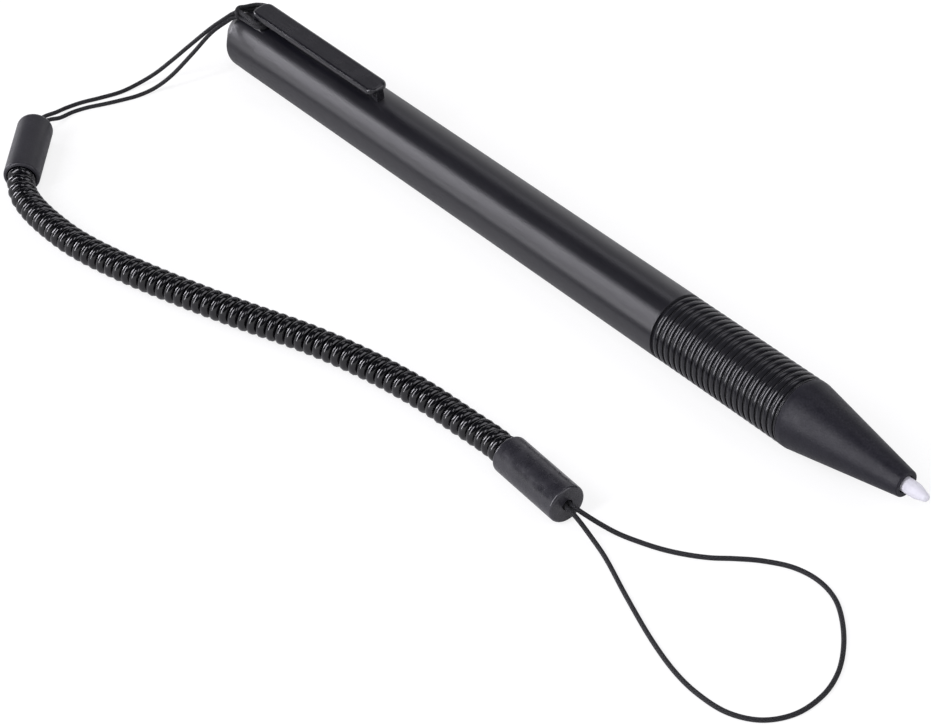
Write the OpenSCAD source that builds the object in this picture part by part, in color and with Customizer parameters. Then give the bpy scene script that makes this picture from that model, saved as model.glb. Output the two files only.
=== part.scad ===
// Tethered stylus pen: a hollow barrel with a ribbed grip, a hard nose and a white nib, a pocket
// clip on the rear cap, and a coiled tether hitched round the clip's root. Millimetres.
// The pen lies on z = 0 along the X axis with its nib towards +X and its clip straight up.

/* [Pen] */
// Outside diameter of the barrel, the rear cap and the grip
barrel_d = 9; // [8.6:0.1:10]
// Length of the plain barrel between the rear cap and the grip
barrel_length = 82; // [70:1:100]
// Thickness of the barrel wall
barrel_wall = 1.2; // [0.9:0.1:1.4]
// Length of the rear cap that shows
cap_length = 9.3; // [8:0.1:14]
// Length of the ribbed grip
grip_length = 21.6; // [15:0.1:30]
// Length of the tapered nose
nose_length = 16.8; // [16:0.1:24]
// Length of nib that stands out of the nose
nib_reach = 3.5; // [2:0.1:6]

/* [Rear cap] */
// Diameter of the flat end of the rear cap
cap_end_d = 3.7; // [2:0.1:6]
// Rounding between that flat end and the bevel
cap_end_round = 1.7; // [0.3:0.1:1.9]
// Length of the bevel at the rear end
cap_bevel_length = 3.35; // [1.5:0.05:4]
// How much smaller in radius the cap is at the bevel than at the barrel
cap_taper = 0.03; // [0:0.01:0.5]
// Length of the spigot that plugs into the barrel
cap_spigot_length = 6; // [3:0.5:12]
// Thickness of the spigot wall
spigot_wall = 1; // [0.6:0.1:1.2]

/* [Pocket clip] */
// Width of the clip
clip_width = 3.2; // [2.4:0.1:5]
// Length of the clip
clip_length = 27.1; // [15:0.1:50]
// Distance from the pen's rear end to the clip's rear end
clip_setback = 6.7; // [5.5:0.1:7.2]
// Thickness of the clip at its root
clip_root_thickness = 0.9; // [0.7:0.05:1.4]
// Thickness of the clip at its free end
clip_tip_thickness = 0.75; // [0.5:0.05:0.9]
// Height of the gap between the barrel and the clip
clip_gap = 1.6; // [1.5:0.1:3]
// Length of the root that joins the clip to the cap
clip_root_length = 1.5; // [1.2:0.1:1.9]
// Radius of the clip's corners seen from above
clip_corner_r = 1.1; // [0.3:0.1:1.1]
// Width of the foot under the free end
clip_foot_width = 1.15; // [0.6:0.05:2]
// Length of the foot along the pen
clip_foot_length = 3; // [1.5:0.1:6]
// Space left between the foot and the barrel
clip_foot_clearance = 0.08; // [0.04:0.01:0.3]

/* [Grip] */
// Number of ribs on the grip
rib_count = 21; // [8:1:24]
// Depth of the grooves between the ribs
rib_depth = 0.32; // [0.1:0.02:0.6]
// Width of the flat bottom of each groove
groove_width = 0.36; // [0.1:0.02:0.4]
// Width of the groove next to the barrel
first_groove_width = 0.49; // [0.2:0.01:1]
// Width of the plain land at the grip's front end
grip_end_land = 0.25; // [0.2:0.01:1]

/* [Nose and nib] */
// Diameter of the nose at its front end
nose_end_d = 3.4; // [3.3:0.1:4.4]
// Length of the short straight band where the nose meets the grip
nose_band = 0.7; // [0.2:0.1:1.5]
// Diameter of the hole round the nib
nose_hole_d = 2.2; // [2.1:0.1:2.5]
// Depth of the hole round the nib
nose_hole_depth = 2.5; // [1:0.1:3]
// Diameter of the nib
nib_d = 1.9; // [1.7:0.1:2]
// Diameter of the nib's stem
nib_stem_d = 1.6; // [1:0.1:1.6]
// Length of the stem inside the holder
nib_stem_length = 7.5; // [4:0.5:8]
// Outside diameter of the holder
holder_d = 3; // [2.7:0.1:3.1]

/* [Core tube] */
// Length of the core tube inside the barrel
core_barrel_length = 12; // [6:1:30]
// Length of the core tube's spigot inside the nose
core_nose_length = 4.8; // [3:0.2:5.4]
// Diameter of that spigot
core_nose_d = 5.9; // [5.2:0.1:6]
// Bore of the core tube
core_bore_d = 4; // [3:0.1:4.2]

/* [Tether] */
// Diameter of the thin cord
cord_d = 0.6; // [0.4:0.05:0.65]
// Outside diameter of the coiled cord
coil_d = 3.85; // [3:0.05:4]
// Outside diameter of the sleeves
sleeve_d = 5; // [4.6:0.1:5.4]
// Length of the sleeves
sleeve_length = 11.5; // [10.5:0.1:14]
// Bore of a sleeve at the coil's mouth
mouth_d = 4.1; // [4.05:0.05:4.3]
// Depth of the coil's mouth
mouth_depth = 4; // [3:0.5:4.5]
// Thickness of a sleeve's end wall on the cord side
sleeve_end_wall = 2; // [1:0.1:3]
// Hole for the two strands of thin cord
strand_hole_d = 1.35; // [1.3:0.05:1.6]
// Rounding of a sleeve's edge on the cord side
sleeve_cord_round = 0.4; // [0.1:0.1:1.2]
// Rounding of a sleeve's edge at the coil's mouth
sleeve_mouth_round = 0.4; // [0.1:0.05:0.4]
// Outside diameter of the crimps
crimp_d = 2.3; // [1.8:0.1:2.6]
// Thickness of the knot that holds the loop round the clip's root
hitch_d = 1.9; // [1.4:0.1:2]
// Length of that knot
hitch_length = 2.3; // [2.2:0.1:2.6]

/* [Fits] */
// Radial clearance of plug-in joints
fit = 0.05; // [0.02:0.01:0.1]
// Clearance between flat faces that part when something moves
face_gap = 0.02; // [0.01:0.01:0.05]

/* [Hidden] */

$fn = 96;
TUBE_SIDES = 8;
COIL_SIDES = 12;
CORNER_STEPS = 6;

barrel_r = barrel_d / 2;
bore_r = barrel_r - barrel_wall;
axis_z = barrel_r;
pen_length = cap_length + barrel_length + grip_length + nose_length + nib_reach;

// Stations along the pen, with the origin under the middle of its length
x_rear = -pen_length / 2;
x_barrel = x_rear + cap_length;
x_grip = x_barrel + barrel_length;
x_nose = x_grip + grip_length;
x_rim = x_nose + nose_length;
x_tip = x_rim + nib_reach;

spigot_r = bore_r - fit;
spigot_bore_r = spigot_r - spigot_wall;
cap_end_wall = 3;

x_clip = x_rear + clip_setback;
clip_under_z = barrel_d + clip_gap;
clip_top_z = clip_under_z + clip_root_thickness;

x_hole = x_rim - nose_hole_depth;
x_socket_end = x_nose + core_nose_length + 0.2;
x_holder = x_socket_end + 0.4;
holder_flange_d = holder_d + 0.7;
holder_flange_length = 1;
x_stem = x_hole + fit - nib_stem_length;
nib_tip_length = 2;

crimp_bore_r = strand_hole_d / 2;
crimp_seat_r = crimp_d / 2 + fit;
crimp_length = sleeve_length - sleeve_end_wall - mouth_depth;

// Where the sleeves lie: the middle of the cord end, and the heading towards the coil
sleeve_z = sleeve_d / 2;
pen_sleeve_at = [-71.5, -31.8];
pen_sleeve_heading = -43.2;
device_sleeve_at = [36.5, -28.2];
device_sleeve_heading = 176.5;

// Routes of the cords. The two strands run from inside the pen's sleeve to the knot, and the coil
// from that sleeve into the device's sleeve, where the loop starts and ends.
rear_strand_route = [
    [-70.2, -33.4, 2.5], [-71.7, -32, 2.45], [-72.6, -31, 2.2], [-73.5, -29.2, 1.6],
    [-74.1, -27.2, 0.8], [-74.5, -25.2, 0.3], [-73.9, -23, 0.3], [-72.8, -20.5, 0.3],
    [-71.8, -17.8, 0.3], [-71.3, -15.2, 0.5], [-70.1, -12.7, 1.6], [-68.5, -10.5, 3.5],
    [-66.7, -8, 5.8], [-64.9, -5.2, 8.1], [-63.5, -2.6, 9.6]];
front_strand_route = [
    [-69.8, -32.9, 2.5], [-71.3, -31.6, 2.45], [-72, -30.6, 2.15], [-72.4, -29, 1.5],
    [-72.7, -27.3, 0.7], [-73, -25.2, 0.3], [-72.3, -23.1, 0.3], [-71.1, -20.8, 0.3],
    [-70.1, -18.7, 0.3], [-69.2, -16.4, 0.3], [-68.3, -14, 0.8], [-66.95, -11.7, 2.45],
    [-65.5, -8.7, 5.2], [-64.4, -5.6, 7.75], [-63.15, -2.75, 9.25]];
hitch_at = [-62.8, -1.9, 9.7];
hitch_lean = [-0.57, 0.16, 0.81];
inner_turn_route = [
    [-62.2, -1.6, 10.1], [-60.2, -2, 10.3], [-58.7, -2.05, 10.2], [-58, -1.9, 10],
    [-57.95, -1.1, 9.8], [-57.95, 1.1, 9.7], [-58, 1.9, 9.8], [-58.7, 2.05, 9.9],
    [-61, 1.95, 9.9], [-63, 0.5, 9.7], [-63.2, -1.2, 10.1]];
outer_turn_route = [
    [-62.1, -2, 9.5], [-60, -2.2, 9.5], [-58.2, -2.1, 9.5], [-57.4, -1.2, 9.6],
    [-57.4, 1.2, 9.5], [-58.3, 2.1, 9.2], [-61.4, 2, 9.1], [-63.7, 0.4, 9.2], [-63.6, -1.3, 9.5]];
coil_route = [
    [-66.1, -36.9, 2.5], [-63.2, -39.6, 2.5], [-60.3, -41.2, 2.2], [-56.5, -41.9, 1.95],
    [-51.5, -42.1, 1.95], [-46, -41.8, 1.95], [-39, -40.5, 1.95], [-30, -38.2, 1.95],
    [-20, -35.2, 1.95], [-9, -31.6, 1.95], [0, -29.4, 1.95], [9, -28, 1.95],
    [17.5, -27.4, 1.95], [21.6, -27.3, 2.2], [24.8, -27.5, 2.5], [28.8, -27.7, 2.5]];
device_loop_route = [
    [34.3, -27.8, 2.5], [36.3, -27.9, 2.5], [38, -27.6, 2.1], [40.2, -26.6, 0.9],
    [42.4, -25.8, 0.3], [45, -25, 0.3], [47.8, -23.9, 0.3], [50.4, -22.5, 0.3],
    [52.7, -20.9, 0.3], [54.8, -19, 0.3], [57.2, -17.1, 0.3], [60.3, -15.4, 0.3],
    [63.6, -14.8, 0.3], [66.9, -15.4, 0.3], [69.9, -17.2, 0.3], [72.8, -19.9, 0.3],
    [75, -23, 0.3], [76.1, -26.4, 0.3], [75.9, -30.2, 0.3], [74, -33.4, 0.3],
    [70.7, -35.3, 0.3], [66.6, -35.8, 0.3], [62.3, -35.4, 0.3], [56.9, -34, 0.3],
    [50.3, -31.7, 0.3], [44.5, -29.5, 0.3], [41.1, -28.7, 0.8], [38.3, -28.5, 2],
    [36.3, -28.5, 2.5], [34.3, -28.4, 2.5]];

function unit(v) = v / norm(v);

// Points of a rounded corner at p, between its neighbours a and b
function corner(a, p, b, r) =
    r == 0 ? [p] :
    let (u = unit(a - p), v = unit(b - p), half = acos(u * v) / 2, turn = 180 - 2 * half,
         c = p + unit(u + v) * r / sin(half), s = p + u * r / tan(half) - c,
         e = p + v * r / tan(half) - c)
    [for (i = [0:CORNER_STEPS]) let (k = i / CORNER_STEPS)
        c + (sin((1 - k) * turn) * s + sin(k * turn) * e) / sin(turn)];

// Outline through corners, each given as [x, y, radius]
function rounded(corners) =
    let (n = len(corners), flat = [for (q = corners) [q[0], q[1]]])
    [for (i = [0:n - 1]) each corner(flat[(i + n - 1) % n], flat[i], flat[(i + 1) % n], corners[i][2])];

// Direction of a route at its point i
function heading(route, i) =
    unit(route[min(i + 1, len(route) - 1)] - route[max(i - 1, 0)]);

// Points round a route's point i
function ring(route, i, r, sides) =
    let (t = heading(route, i), side = unit(cross([0, 0, 1], t)), top = cross(t, side))
    [for (k = [0:sides - 1]) let (a = (k + 0.5) * 360 / sides)
        route[i] + r * (cos(a) * side + sin(a) * top)];

// Round tube along a route, with one ring of points at each of its points
module tube(route, d, sides) {
    last = len(route) - 1;
    points = [for (i = [0:last]) each ring(route, i, d / 2, sides)];
    walls = [for (i = [0:last - 1], k = [0:sides - 1])
        let (a = i * sides + k, b = i * sides + (k + 1) % sides)
        each [[a, a + sides, b], [b, a + sides, b + sides]]];
    near_end = [for (k = [0:sides - 1]) k];
    far_end = [for (k = [sides - 1:-1:0]) last * sides + k];
    polyhedron(points, concat(walls, [near_end, far_end]));
}

// Solid of revolution about the pen's axis; corners are [x, radius from the axis, rounding]
module turned(corners) {
    translate([0, 0, axis_z]) rotate([0, 90, 0]) rotate_extrude()
        polygon([for (q = rounded(corners)) [q[1], q[0]]]);
}

// Round bar or hole along the pen's axis from x0 to x1
module along(x0, x1, r) {
    translate([x0, 0, axis_z]) rotate([0, 90, 0]) cylinder(h = x1 - x0, r = r);
}

// Rounded plan of the clip, extruded from z0 to z1
module clip_plan(z0, z1) {
    w = clip_width / 2;
    translate([x_clip, 0, z0]) linear_extrude(z1 - z0)
        polygon(rounded([[0, -w, clip_corner_r], [clip_length, -w, clip_corner_r],
                         [clip_length, w, clip_corner_r], [0, w, clip_corner_r]]));
}

// Side view extruded across the pen; points are [x, z]
module across(points, width) {
    translate([0, width / 2, 0]) rotate([90, 0, 0]) linear_extrude(width) polygon(points);
}

// Puts a piece that is drawn along +X from the origin where a sleeve lies
module at_sleeve(at, angle) {
    translate([at[0], at[1], sleeve_z]) rotate([0, 0, angle]) rotate([0, 90, 0]) children();
}

module barrel() color([0.09, 0.09, 0.1])
    difference() {
        along(x_barrel, x_grip, barrel_r);
        along(x_barrel - 1, x_grip + 1, bore_r);
    }

module rear_cap() color([0.09, 0.09, 0.1]) {
    end_r = cap_end_d / 2;
    difference() {
        union() {
            turned([[x_rear, 0, 0], [x_rear, end_r, cap_end_round],
                    [x_rear + cap_bevel_length, barrel_r - cap_taper, 0.8],
                    [x_rear + 2 * cap_bevel_length, barrel_r, 0], [x_barrel, barrel_r, 0],
                    [x_barrel, 0, 0]]);
            along(x_barrel - 1, x_barrel + cap_spigot_length, spigot_r);
            intersection() {
                clip_plan(axis_z + spigot_r, clip_under_z);
                translate([x_clip, -clip_width, 0])
                    cube([clip_root_length, 2 * clip_width, clip_top_z]);
            }
        }
        along(x_rear + cap_end_wall, x_barrel + cap_spigot_length + 1, spigot_bore_r);
    }
}

module pocket_clip() color([0.13, 0.13, 0.14]) {
    x_end = x_clip + clip_length;
    under = clip_under_z + face_gap;
    tip_z = under + clip_tip_thickness;
    intersection() {
        clip_plan(axis_z, clip_top_z + 1);
        across([[x_clip, under], [x_end, under], [x_end, tip_z], [x_clip, clip_top_z]], clip_width);
    }
    foot_z = barrel_d + clip_foot_clearance;
    x_foot = x_end - clip_foot_length;
    across([for (q = rounded([[x_foot, under, 0], [x_end - 0.6, foot_z, 0.5], [x_end - 0.1, foot_z, 0.1],
                              [x_end, under + 0.1, 0], [x_foot, under + 0.1, 0]])) q],
           clip_foot_width);
}

module core_tube() color([0.2, 0.2, 0.22])
    difference() {
        union() {
            along(x_grip - core_barrel_length, x_nose, spigot_r);
            along(x_nose - 1, x_nose + core_nose_length, core_nose_d / 2);
        }
        along(x_grip - core_barrel_length - 1, x_nose + core_nose_length + 1, core_bore_d / 2);
    }

module grip_sleeve() color([0.07, 0.07, 0.08]) {
    pitch = (grip_length - first_groove_width - grip_end_land) / rib_count;
    half = (pitch - groove_width) / 2;
    x_first = x_grip + first_groove_width + half;
    x_land = x_nose - grip_end_land;
    root_r = barrel_r - rib_depth;
    crest = [for (i = [0:rib_count - 1], a = [0:30:180])
        [root_r + rib_depth * pow(sin(a), 0.6), x_first + i * pitch - half * cos(a)]];
    translate([0, 0, axis_z]) rotate([0, 90, 0]) rotate_extrude()
        polygon(concat([[bore_r, x_grip], [root_r, x_grip]], crest,
                       [[root_r, x_land], [barrel_r, x_land], [barrel_r, x_nose], [bore_r, x_nose]]));
}

module nose_cone() color([0.08, 0.08, 0.09])
    difference() {
        turned([[x_nose, 0, 0], [x_nose, barrel_r, 0.1], [x_nose + nose_band, barrel_r, 0.25],
                [x_rim, nose_end_d / 2, 0.15], [x_rim, 0, 0]]);
        along(x_nose - 1, x_socket_end, core_nose_d / 2 + fit);
        along(x_nose, x_holder + holder_flange_length, holder_flange_d / 2 + fit);
        along(x_nose, x_hole, holder_d / 2 + fit);
        along(x_nose, x_rim + 1, nose_hole_d / 2);
    }

module nib_holder() color([0.3, 0.3, 0.32])
    difference() {
        union() {
            along(x_holder, x_holder + holder_flange_length, holder_flange_d / 2);
            along(x_holder, x_hole - fit, holder_d / 2);
        }
        along(x_holder - 1, x_hole + 1, nib_stem_d / 2 + fit / 2);
    }

module nib() color([0.9, 0.89, 0.94]) {
    along(x_stem, x_hole + 1, nib_stem_d / 2);
    turned([[x_hole + fit, 0, 0], [x_hole + fit, nib_d / 2, 0],
            [x_tip - nib_tip_length, nib_d / 2, 2], [x_tip - 0.35, nib_d / 4, 0.4], [x_tip, 0, 0]]);
}

module sleeve(at, angle) {
    mouth_x = sleeve_length - mouth_depth;
    r = sleeve_d / 2;
    at_sleeve(at, angle) difference() {
        rotate_extrude()
            polygon([for (q = rounded([[0, 0, 0], [0, r, sleeve_cord_round],
                                       [sleeve_length, r, sleeve_mouth_round],
                                       [sleeve_length, 0, 0]])) [q[1], q[0]]]);
        translate([0, 0, -1]) cylinder(h = sleeve_length, r = strand_hole_d / 2);
        translate([0, 0, sleeve_end_wall]) cylinder(h = sleeve_length, r = crimp_seat_r);
        translate([0, 0, mouth_x]) cylinder(h = sleeve_length, r = mouth_d / 2);
    }
}

module crimp(at, angle) {
    at_sleeve(at, angle) difference() {
        translate([0, 0, sleeve_end_wall]) cylinder(h = crimp_length, r = crimp_d / 2);
        translate([0, 0, sleeve_end_wall - 1]) cylinder(h = crimp_length + 2, r = crimp_bore_r);
    }
}

module pen_cord_rear() color([0.05, 0.05, 0.05]) tube(rear_strand_route, cord_d, TUBE_SIDES);

module pen_cord_front() color([0.05, 0.05, 0.05]) tube(front_strand_route, cord_d, TUBE_SIDES);

module cord_hitch() color([0.05, 0.05, 0.05]) {
    hull()
        for (end = [-1, 1])
            translate(hitch_at + end * hitch_lean * (hitch_length - hitch_d) / 2)
                sphere(d = hitch_d, $fn = 24);
    tube(inner_turn_route, cord_d, TUBE_SIDES);
    tube(outer_turn_route, cord_d, TUBE_SIDES);
}

module pen_sleeve() color([0.15, 0.15, 0.16]) sleeve(pen_sleeve_at, pen_sleeve_heading);

module pen_crimp() color([0.6, 0.6, 0.62]) crimp(pen_sleeve_at, pen_sleeve_heading);

module coil_cord() color([0.06, 0.06, 0.07]) tube(coil_route, coil_d, COIL_SIDES);

module device_sleeve() color([0.15, 0.15, 0.16]) sleeve(device_sleeve_at, device_sleeve_heading);

module device_crimp() color([0.6, 0.6, 0.62]) crimp(device_sleeve_at, device_sleeve_heading);

module device_cord() color([0.05, 0.05, 0.05]) tube(device_loop_route, cord_d, TUBE_SIDES);

barrel();
rear_cap();
pocket_clip();
core_tube();
grip_sleeve();
nose_cone();
nib_holder();
nib();
pen_cord_rear();
pen_cord_front();
cord_hitch();
pen_sleeve();
pen_crimp();
coil_cord();
device_sleeve();
device_crimp();
device_cord();
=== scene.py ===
"""Looks of a black stylus pen with a coiled tether.

The pen lies along X with its nib towards +X and its pocket clip straight up. Its tether is
hitched round the clip's root and lies on the table beside it. Lengths in this file are in
metres; those that are written in millimetres are multiplied by MM.
"""

import logging
import math
from collections.abc import Iterable, Sequence
from dataclasses import dataclass, field, replace
from enum import Enum

import bmesh
import bpy
from mathutils import Matrix, Vector


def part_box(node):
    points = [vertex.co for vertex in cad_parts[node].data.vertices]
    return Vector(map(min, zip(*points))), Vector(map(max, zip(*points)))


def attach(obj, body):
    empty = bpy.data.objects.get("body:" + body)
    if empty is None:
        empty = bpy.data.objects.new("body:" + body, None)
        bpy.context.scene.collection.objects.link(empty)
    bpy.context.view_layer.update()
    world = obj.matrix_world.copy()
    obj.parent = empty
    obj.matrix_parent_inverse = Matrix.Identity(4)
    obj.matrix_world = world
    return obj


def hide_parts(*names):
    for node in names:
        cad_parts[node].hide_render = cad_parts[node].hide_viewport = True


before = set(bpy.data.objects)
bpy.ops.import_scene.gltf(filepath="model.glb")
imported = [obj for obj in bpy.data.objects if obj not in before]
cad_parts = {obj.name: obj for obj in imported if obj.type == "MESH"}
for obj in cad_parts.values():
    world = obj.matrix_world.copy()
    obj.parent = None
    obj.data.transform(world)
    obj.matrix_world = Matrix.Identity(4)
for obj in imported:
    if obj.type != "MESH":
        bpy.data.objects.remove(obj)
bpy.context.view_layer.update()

MM = 0.001
MERGE_DISTANCE = 1e-7
CREASE = math.radians(35.0)  # edges that turn by more are shaded sharp
CURVE_STEPS = 16  # points between two points of a route, before they are spread evenly
UP = Vector((0.0, 0.0, 1.0))
WHITE = (1.0, 1.0, 1.0, 1.0)
LAMP_COLOUR = (1.0, 0.985, 1.06)

Colour = tuple[float, float, float]
Point = tuple[float, float, float]
Socket = bpy.types.NodeSocket
Tree = bpy.types.NodeTree

log = logging.getLogger("stylus")


class Body(Enum):
    """Bodies of the frame that pieces ride on."""

    PEN = "pen"
    CLIP = "clip"
    NOSE = "nose"
    NIB = "nib"


class Slot(Enum):
    """Material slots of the part's record; only the coil's slot is read, for the sides of its tube.
    """

    BARREL = "barrel"
    CLIP = "clip"
    GRIP = "grip"
    NOSE = "nose"
    NIB = "nib"
    CORD = "cord"
    SLEEVE = "sleeve"
    COIL = "coil"


class Hand(Enum):
    """Which way a helix turns as it goes forward."""

    RIGHT = 1
    LEFT = -1


# ---------------------------------------------------------------- meshes


@dataclass(frozen=True)
class Corner:
    """A corner of a turned profile, in metres.

    Attributes:
        x: Place along the axis.
        r: Distance from the axis.
        rounding: Radius of its rounding, or 0 for a sharp corner.
        steps: Number of segments of that rounding.
    """

    x: float
    r: float
    rounding: float = 0.0
    steps: int = 4


def mm_points(rows: Iterable[Sequence[float]]) -> list[Vector]:
    """Turns points written in millimetres into points in metres.

    Args:
        rows: Points as three numbers each.

    Returns:
        The same points in metres.
    """
    return [Vector(row) * MM for row in rows]


def link(obj: bpy.types.Object) -> bpy.types.Object:
    """Puts an object into the scene and returns it."""
    bpy.context.scene.collection.objects.link(obj)
    return obj


def facing(right: Vector, back: Vector) -> Matrix:
    """Turn of a lamp or camera whose right side and back point the given ways."""
    return Matrix((right, back.cross(right), back)).transposed().to_4x4()


def finished(name: str, bm: bmesh.types.BMesh, place: Matrix | None = None) -> bpy.types.Object:
    """Turns a bmesh into an object with closed seams, outward faces and smooth shading.

    Args:
        name: Name of the piece.
        bm: The bmesh, which is freed.
        place: Where the piece goes, applied to its mesh.

    Returns:
        The new object, which itself stays at the origin.
    """
    bmesh.ops.remove_doubles(bm, verts=bm.verts[:], dist=MERGE_DISTANCE)
    bmesh.ops.recalc_face_normals(bm, faces=bm.faces[:])
    if place is not None:
        bmesh.ops.transform(bm, matrix=place, verts=bm.verts[:])
    mesh = bpy.data.meshes.new(name)
    bm.to_mesh(mesh)
    bm.free()
    return shaded(link(bpy.data.objects.new(name, mesh)))


def applied(obj: bpy.types.Object) -> bpy.types.Object:
    """Applies an object's modifiers to its mesh.

    Args:
        obj: The object.

    Returns:
        The same object.
    """
    bpy.context.view_layer.update()
    depsgraph = bpy.context.evaluated_depsgraph_get()
    mesh = bpy.data.meshes.new_from_object(obj.evaluated_get(depsgraph))
    obj.modifiers.clear()
    obj.data = mesh
    mesh.name = obj.name
    return obj


def shaded(obj: bpy.types.Object) -> bpy.types.Object:
    """Shades an object smooth, with large faces flat up to the roundings beside them.

    Args:
        obj: The object.

    Returns:
        The same object.
    """
    obj.data.shade_smooth()
    obj.data.set_sharp_from_angle(angle=CREASE)
    weighted = obj.modifiers.new("weighted_normals", "WEIGHTED_NORMAL")
    weighted.mode = "FACE_AREA"
    weighted.weight = 100
    weighted.keep_sharp = True
    return applied(obj)


def round_wire(bm: bmesh.types.BMesh, verts: Sequence[bmesh.types.BMVert],
               corners: Sequence[Corner]) -> None:
    """Rounds the corners of a wire outline.

    Args:
        bm: The bmesh that holds the outline.
        verts: The outline's vertices, one for each corner.
        corners: The corners, which give each rounding.
    """
    cuts = []
    for vert, corner in zip(verts, corners):
        if corner.rounding > 0:
            arms = [edge.other_vert(vert).co - vert.co for edge in vert.link_edges]
            turn = math.pi - arms[0].angle(arms[1])
            cuts.append((vert, corner.rounding * math.tan(turn / 2), corner.steps))
    for vert, offset, steps in cuts:
        bmesh.ops.bevel(bm, geom=[vert], offset=offset, offset_type="OFFSET", affect="VERTICES",
                        segments=steps, profile=0.5, material=-1)


def turned(name: str, corners: Sequence[Corner], place: Matrix, closed: bool = True,
           steps: int = 128) -> bpy.types.Object:
    """Turns a profile about the local X axis, as on a lathe.

    Args:
        name: Name of the piece.
        corners: The profile's corners in order.
        place: Matrix from the lathe's axis to where the piece goes.
        closed: True if the profile is a loop round a bore, False if it starts and ends on the axis.
        steps: Number of steps of the full turn.

    Returns:
        The new object.
    """
    bm = bmesh.new()
    verts = [bm.verts.new((corner.x, 0.0, corner.r)) for corner in corners]
    for a, b in zip(verts, verts[1:] + verts[:1] if closed else verts[1:]):
        bm.edges.new((a, b))
    round_wire(bm, verts, corners)
    bmesh.ops.spin(bm, geom=bm.verts[:] + bm.edges[:], cent=(0, 0, 0), axis=(1, 0, 0),
                   angle=math.tau, steps=steps, use_merge=True)
    return finished(name, bm, place)


def joined(name: str, base: bpy.types.Object, other: bpy.types.Object) -> bpy.types.Object:
    """Joins two solids into one watertight mesh.

    Args:
        name: Name of the joined piece.
        base: First solid, which becomes the joined one.
        other: Second solid, which is removed.

    Returns:
        The joined object.
    """
    union = base.modifiers.new("union", "BOOLEAN")
    union.operation = "UNION"
    union.solver = "MANIFOLD"
    union.object = other
    applied(base)
    bpy.data.objects.remove(other)
    base.name = name
    return shaded(base)


def smooth_line(points: Sequence[Vector], step: float) -> list[Vector]:
    """Follows the smooth curve through points at even steps.

    Args:
        points: Points of the route.
        step: Greatest distance between the points that are returned.

    Returns:
        Evenly spaced points of a Catmull-Rom curve, from the first point to the last.
    """
    ends = [2 * points[0] - points[1], *points, 2 * points[-1] - points[-2]]
    dense = [points[0]]
    for p0, p1, p2, p3 in zip(ends, ends[1:], ends[2:], ends[3:]):
        for i in range(1, CURVE_STEPS + 1):
            t = i / CURVE_STEPS
            dense.append(0.5 * (2 * p1 + (p2 - p0) * t + (2 * p0 - 5 * p1 + 4 * p2 - p3) * t ** 2
                                + (3 * p1 - p0 - 3 * p2 + p3) * t ** 3))
    return resampled(dense, step)


def line_length(points: Sequence[Vector]) -> float:
    """Length of a line through points."""
    return sum((b - a).length for a, b in zip(points, points[1:]))


def resampled(points: Sequence[Vector], step: float) -> list[Vector]:
    """Spreads points evenly along a line.

    Args:
        points: Points of the line.
        step: Greatest distance between the points that are returned.

    Returns:
        The evenly spaced points, with both ends.
    """
    total = line_length(points)
    count = max(1, math.ceil(total / step))
    result, passed, i = [points[0].copy()], 0.0, 0
    for k in range(1, count):
        target = total * k / count
        while passed + (points[i + 1] - points[i]).length < target:
            passed += (points[i + 1] - points[i]).length
            i += 1
        share = (target - passed) / (points[i + 1] - points[i]).length
        result.append(points[i].lerp(points[i + 1], share))
    return [*result, points[-1].copy()]


def tube(name: str, line: Sequence[Vector], diameter: float, rings: int = 3) -> bpy.types.Object:
    """Makes a round tube along a line, with a UV map in millimetres along it and turns round it.

    Args:
        name: Name of the piece.
        line: Points along its middle.
        diameter: Its diameter.
        rings: Bevel resolution of the section, which gets 4 + 2 * rings sides.

    Returns:
        The tube as a mesh object.
    """
    curve = bpy.data.curves.new(name, "CURVE")
    curve.dimensions = "3D"
    curve.bevel_depth = diameter / 2
    curve.bevel_resolution = rings
    curve.use_fill_caps = True
    spline = curve.splines.new("POLY")
    spline.points.add(len(line) - 1)
    for target, point in zip(spline.points, line):
        target.co = (*point, 1.0)
    holder = link(bpy.data.objects.new(name + "_line", curve))
    bpy.context.view_layer.update()
    depsgraph = bpy.context.evaluated_depsgraph_get()
    mesh = bpy.data.meshes.new_from_object(holder.evaluated_get(depsgraph))
    bpy.data.objects.remove(holder)
    mesh.name = name
    millimetres = line_length(line) / MM
    for loop in mesh.uv_layers.active.data:
        loop.uv = (loop.uv[0] * millimetres, loop.uv[1])
    mesh.shade_smooth()
    return link(bpy.data.objects.new(name, mesh))


def dress(piece: bpy.types.Object, body: Body, material: bpy.types.Material,
          stands_for: Sequence[str] = ()) -> bpy.types.Object:
    """Gives a piece its material and body, and hides the CAD nodes that it stands for.

    Args:
        piece: The piece.
        body: Body that it rides on.
        material: Its material.
        stands_for: Names of the CAD nodes that it replaces.

    Returns:
        The same piece.
    """
    piece.data.materials.clear()
    piece.data.materials.append(material)
    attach(piece, body.value)
    if stands_for:
        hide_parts(*stands_for)
    log.info("%s: rides on %s, %d faces", piece.name, body.value, len(piece.data.polygons))
    return piece


# ---------------------------------------------------------------- finishes


def node(tree: Tree, kind: str, inputs: dict[str | int, object] | None = None,
         **settings: object) -> bpy.types.Node:
    """Adds a shader node.

    Args:
        tree: The node tree.
        kind: The node's type name without its ShaderNode prefix.
        inputs: For each input, a socket to link or a value to set.
        **settings: Properties of the node.

    Returns:
        The new node.
    """
    made = tree.nodes.new("ShaderNode" + kind)
    for key, value in settings.items():
        setattr(made, key, value)
    for key, value in (inputs or {}).items():
        if isinstance(value, Socket):
            tree.links.new(value, made.inputs[key])
        else:
            made.inputs[key].default_value = value
    return made


def calc(tree: Tree, operation: str, *values: object) -> Socket:
    """Adds a Math node.

    Args:
        tree: The node tree.
        operation: Its operation.
        *values: Sockets or numbers for its inputs.

    Returns:
        Its output.
    """
    return node(tree, "Math", dict(enumerate(values)), operation=operation).outputs[0]


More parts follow.
